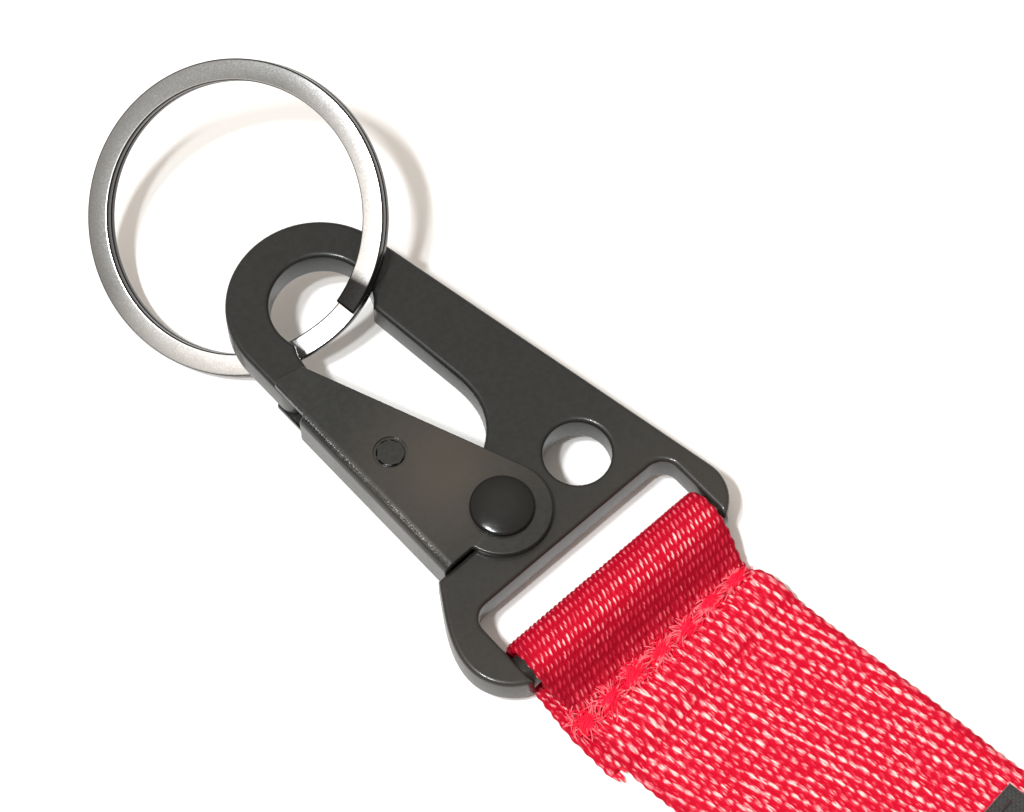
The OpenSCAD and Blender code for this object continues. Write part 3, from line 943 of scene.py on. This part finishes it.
def make_seam_fibres(pale):
    """Ends of webbing yarn gathered towards each tack, coloured pale pink as a painted highlight."""
    rng = np.random.default_rng(23)
    threads = Threads()
    for k in range(-3, 4):
        cx, cd = -1.1 + TACK_PITCH * k, SEAM + 0.15 * math.sin(2.1 * k)
        for _ in range(34):
            heading = rng.uniform(0, 2 * math.pi)
            near, reach = rng.uniform(0.3, 1.0), rng.uniform(0.5, 1.7)
            curl, rise = rng.normal(0, 0.45), rng.uniform(0.05, 0.2)
            line = []
            for f in np.linspace(0, 1, 6):
                out = near + reach * f
                x = cx + 1.15 * out * math.cos(heading + curl * f)
                d = cd + 0.85 * out * math.sin(heading + curl * f)
                fall = 0.5 * max(d - SEAM - 0.9, 0) + 0.25 * max(SEAM - 0.6 - d, 0)
                line.append((x, d, 4 * LAYER - 0.02 + rise * math.sin(math.pi * f) - min(fall, 0.2)))
            threads.add(strap_line(line), rng.uniform(0.035, 0.07) * MM, 5)
    return threads.build("seam_fibres", pale, None)


def make_tail_fray(red):
    """Loose warp ends along the cut end of the webbing's tail."""
    rng = np.random.default_rng(5)
    threads = Threads()
    for k in range(150):
        x = -WEB_WIDTH / 2 - 1.3 + (WEB_WIDTH - 0.3) * k / 149 + rng.normal(0, 0.05)
        h = rng.uniform(0.3, 0.95)
        reach = rng.uniform(0.3, 1.3)
        bend = rng.normal(0, 0.35)
        line = [(x + bend * f * f, TAIL_END - 0.5 + (reach + 0.5) * f, h + 0.1 * math.sin(3 * f + k))
                for f in np.linspace(0, 1, 6)]
        threads.add(strap_line(line), rng.uniform(0.05, 0.09) * MM, 5)
    return threads.build("tail_fray", red, None)


def make_hem_threads(red):
    """Three rows of running stitches across the far hem."""
    threads = Threads()
    top = 4 * LAYER + 0.02
    for row in range(3):
        d = MAIN_END - HEM + 2.2 + 0.8 * row
        for k in range(9):
            x = -WEB_WIDTH / 2 + 1.0 + 2.65 * k
            line = [(x + 2.3 * f, d, top - 0.16 + 0.2 * math.sin(math.pi * f)) for f in np.linspace(0, 1, 9)]
            threads.add(strap_line(line), 0.17 * MM)
    return threads.build("hem_threads", red, "hem_stitching")


LABEL_SIZE = (21.0, 44.0, 0.5)
LABEL_FROM = SEAM + 34.5


def make_label():
    """Plain black woven patch, sewn on at its two ends."""
    rows, cols = ((300, 150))
    x = np.linspace(-1, 1, cols)[None] * LABEL_SIZE[0] / 2 + np.zeros((rows, 1))
    d = LABEL_FROM + np.linspace(0, 1, rows)[:, None] * LABEL_SIZE[1] + np.zeros((1, cols))
    rib = np.abs(np.sin(x * math.pi / 0.32)) * np.abs(np.sin(d * math.pi / 0.5 + (np.floor(x / 0.32) % 2) * 1.57))
    from_edge = np.minimum(LABEL_SIZE[0] / 2 - np.abs(x),
                           np.minimum(d - LABEL_FROM, LABEL_FROM + LABEL_SIZE[1] - d))
    soft = np.sqrt(np.clip(from_edge / 0.3, 0.03, 1))
    base = 2 * LAYER - 0.1
    top = strap_place(x, d, base + (LABEL_SIZE[2] + 0.02 - 0.07 * (1 - rib)) * soft + 0.02)
    low = strap_place(x, d, base + 0 * x)
    label = grid_mesh("label_patch", top[:, ::-1], low[:, ::-1], {"crest": (rib[:, ::-1], rib[:, ::-1] * 0)})
    n = Nodes("label_black")
    crest = n.attribute("crest").outputs["Fac"]
    n.set(Base_Color=n.mix(crest, grey(0.006), grey(0.03)), Roughness=n.ramp(crest, 0, 1, 0.75, 0.5),
          Sheen_Weight=0.2, Normal=n.bump(n.noise(4000, 3), 0.03 * MM, 0.6))
    label.data.materials.append(n.material)
    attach(label, "strap")
    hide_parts("strap_label")
    threads = Threads()
    height = 2 * LAYER + LABEL_SIZE[2] - 0.12
    for d in (LABEL_FROM + 1.3, LABEL_FROM + LABEL_SIZE[1] - 1.3):
        for k in range(8):
            start = -9.4 + 2.35 * k
            line = [(start + 2.0 * f, d, height + 0.2 * math.sin(math.pi * f)) for f in np.linspace(0, 1, 9)]
            threads.add(strap_line(line), 0.16 * MM)
    threads.build("label_threads", thread_material("thread_black", grey(0.03), 0.2), "label_stitching")
    return label


# ---- Camera, light and table ------------------------------------------------------


def make_camera():
    """Looks down on the hook, 25 degrees off square to its plate, with the strap running to the lower right."""
    turn, height, distance, lens = 42.24, 65.0, 355.7, 123.05
    across = Vector((math.cos(math.radians(turn)), -math.sin(math.radians(turn)), 0))
    lean = math.radians(90 - height)
    back = Vector((-math.sin(math.radians(turn)) * math.sin(lean),
                   -math.cos(math.radians(turn)) * math.sin(lean),
                   math.cos(lean)))
    up = back.cross(across)
    plane = Matrix((HOOK_X, HOOK_Y, HOOK_Z)).transposed()
    turned = plane @ Matrix((across, up, back)).transposed()
    data = bpy.data.cameras.new("camera")
    data.sensor_width = 36
    data.lens = lens
    data.clip_start = 0.01
    camera = bpy.data.objects.new("camera", data)
    place = on_hook(-1.45, 8.24, 1.95) + (plane @ back) * distance * MM
    camera.matrix_world = Matrix.Translation(place) @ turned.to_4x4()
    bpy.context.scene.collection.objects.link(camera)
    bpy.context.scene.camera = camera


def area_light(name, direction, distance, size, power, colour, aim):
    data = bpy.data.lights.new(name, "AREA")
    data.shape = "DISK"
    data.size = size
    data.energy = power
    data.color = colour
    light = bpy.data.objects.new(name, data)
    back = Vector(direction).normalized()
    light.location = aim + back * distance
    light.rotation_mode = "QUATERNION"
    light.rotation_quaternion = back.to_track_quat("Z", "Y")
    bpy.context.scene.collection.objects.link(light)


def make_world():
    """A bright ceiling that darkens towards the horizon, as a room does."""
    world = bpy.data.worlds.new("room")
    bpy.context.scene.world = world
    world.use_nodes = True
    tree = world.node_tree
    place = tree.nodes.new("ShaderNodeTexCoord")
    split = tree.nodes.new("ShaderNodeSeparateXYZ")
    ramp = tree.nodes.new("ShaderNodeValToRGB")
    tree.links.new(place.outputs["Generated"], split.inputs[0])
    tree.links.new(split.outputs["Z"], ramp.inputs["Fac"])
    ramp.color_ramp.elements[0].position = 0.0
    ramp.color_ramp.elements[0].color = (0.22, 0.2, 0.185, 1)
    ramp.color_ramp.elements[1].position = 0.7
    ramp.color_ramp.elements[1].color = (1.0, 0.91, 0.82, 1)
    tree.links.new(ramp.outputs["Color"], tree.nodes["Background"].inputs["Color"])
    tree.nodes["Background"].inputs["Strength"].default_value = 0.87


def make_stage():
    bpy.ops.mesh.primitive_grid_add(x_subdivisions=24, y_subdivisions=24, size=3)
    table = bpy.context.object
    table.name = "table"
    table.location.z = TABLE_Z - 0.02 * MM
    table.data.materials.append(table_material())
    middle = on_hook(-6, 5)
    area_light("window", (-0.42, -0.02, 1.0), 0.9, 0.07, 5.2, (0.95, 0.98, 1.0), middle)
    area_light("lamp", (-0.48, -0.17, 1.0), 0.9, 0.06, 3.9, (0.95, 0.98, 1.0), middle)
    make_world()


bpy.context.scene.view_settings.view_transform = "Standard"
make_camera()
make_stage()

make_hook()
# The gate's coating has a painted reflection in the middle of its face, and real wear along its fold
rounded_copy("gate_lever", "gate", 0.2,
             black_coating("gate_black", 0.013, 0.36, fold_wear, gate_painted_reflection), 3,
             bare=(("spring_pin", 2.2), ("pivot_rivet", 3.0)))
rounded_copy("pivot_rivet", "frame", 0.25, rivet_material(), 4)
rounded_copy("spring_pin", "gate", 0.15, black_coating("pin_black", 0.014, 0.36), 3)
make_ring()
rounded_copy("gate_spring", "gate", 0.03, steel("spring_steel", 0.5, 0.25, 3000), 1)

strap = make_strap()
red_thread = thread_material("thread_red", (0.98, 0.006, 0.045, 1), 0.12)
seam = make_seam(red_thread)
# The yarn ends by the tacks are coloured pale pink, a painted highlight
fibres = make_seam_fibres(thread_material("thread_painted_highlight", (0.92, 0.15, 0.19, 1), 0.1))
fray = make_tail_fray(red_thread)
make_hem_threads(red_thread)
make_label()
web_length = resample(strap_path(), PATH_STEP)[0][-1]
